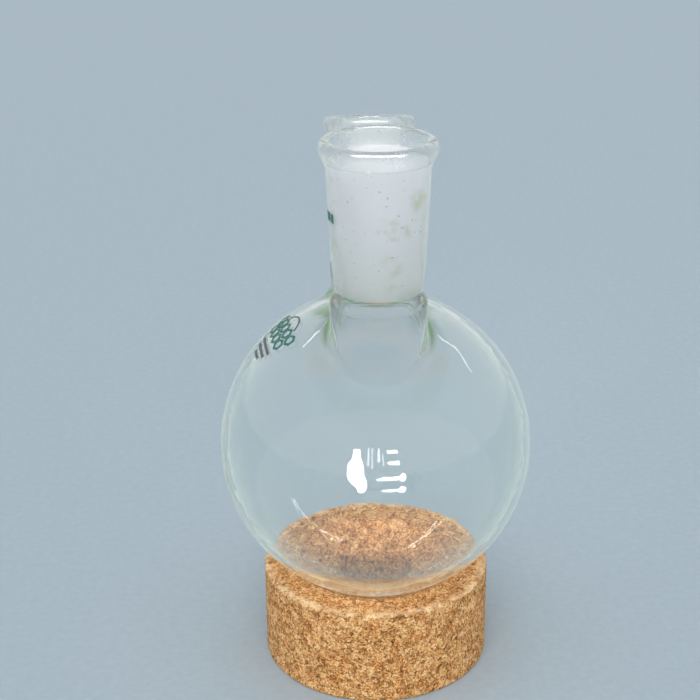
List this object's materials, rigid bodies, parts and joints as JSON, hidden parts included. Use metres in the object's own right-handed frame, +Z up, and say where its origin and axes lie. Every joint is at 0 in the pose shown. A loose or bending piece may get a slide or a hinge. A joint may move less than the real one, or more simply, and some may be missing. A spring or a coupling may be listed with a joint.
{
  "type": "round bottom flask",
  "caption": "Clear glass round bottom flask with an upright main neck, a smaller leaning side neck, ground taper sockets and a cork ring stand.",
  "frame": {"origin": "centre of the cork ring's bottom face, on the shared axis of the ring and the bulb", "axes": "+Z up along that axis; -Y towards the upright main neck; +Y towards the leaning side neck; the print is on -X"},
  "size_m": [0.105, 0.105, 0.191],
  "materials": {
    "cork": "agglomerated cork, matt, with pale and dark granules",
    "clear_glass": "clear polished borosilicate glass, faint green at its edges",
    "ground_glass": "clear glass with a finely ground, frosted white bore",
    "green_enamel": "fired enamel print, satin",
    "grey_enamel": "fired enamel print, satin"
  },
  "bodies": {
    "ring": {"cork_ring": "cork"},
    "flask": {"bulb": "clear_glass", "main_neck": "clear_glass", "main_socket": "ground_glass", "side_neck": "clear_glass", "side_socket": "ground_glass", "green_print": "green_enamel", "grey_print": "grey_enamel", "socket_size_mark": "green_enamel"}
  },
  "joints": [
    {"name": "lift_off", "type": "slide", "parent": "ring", "child": "flask", "axis": [0, 0, 1], "range_m": [0, 0.12]}
  ]
}
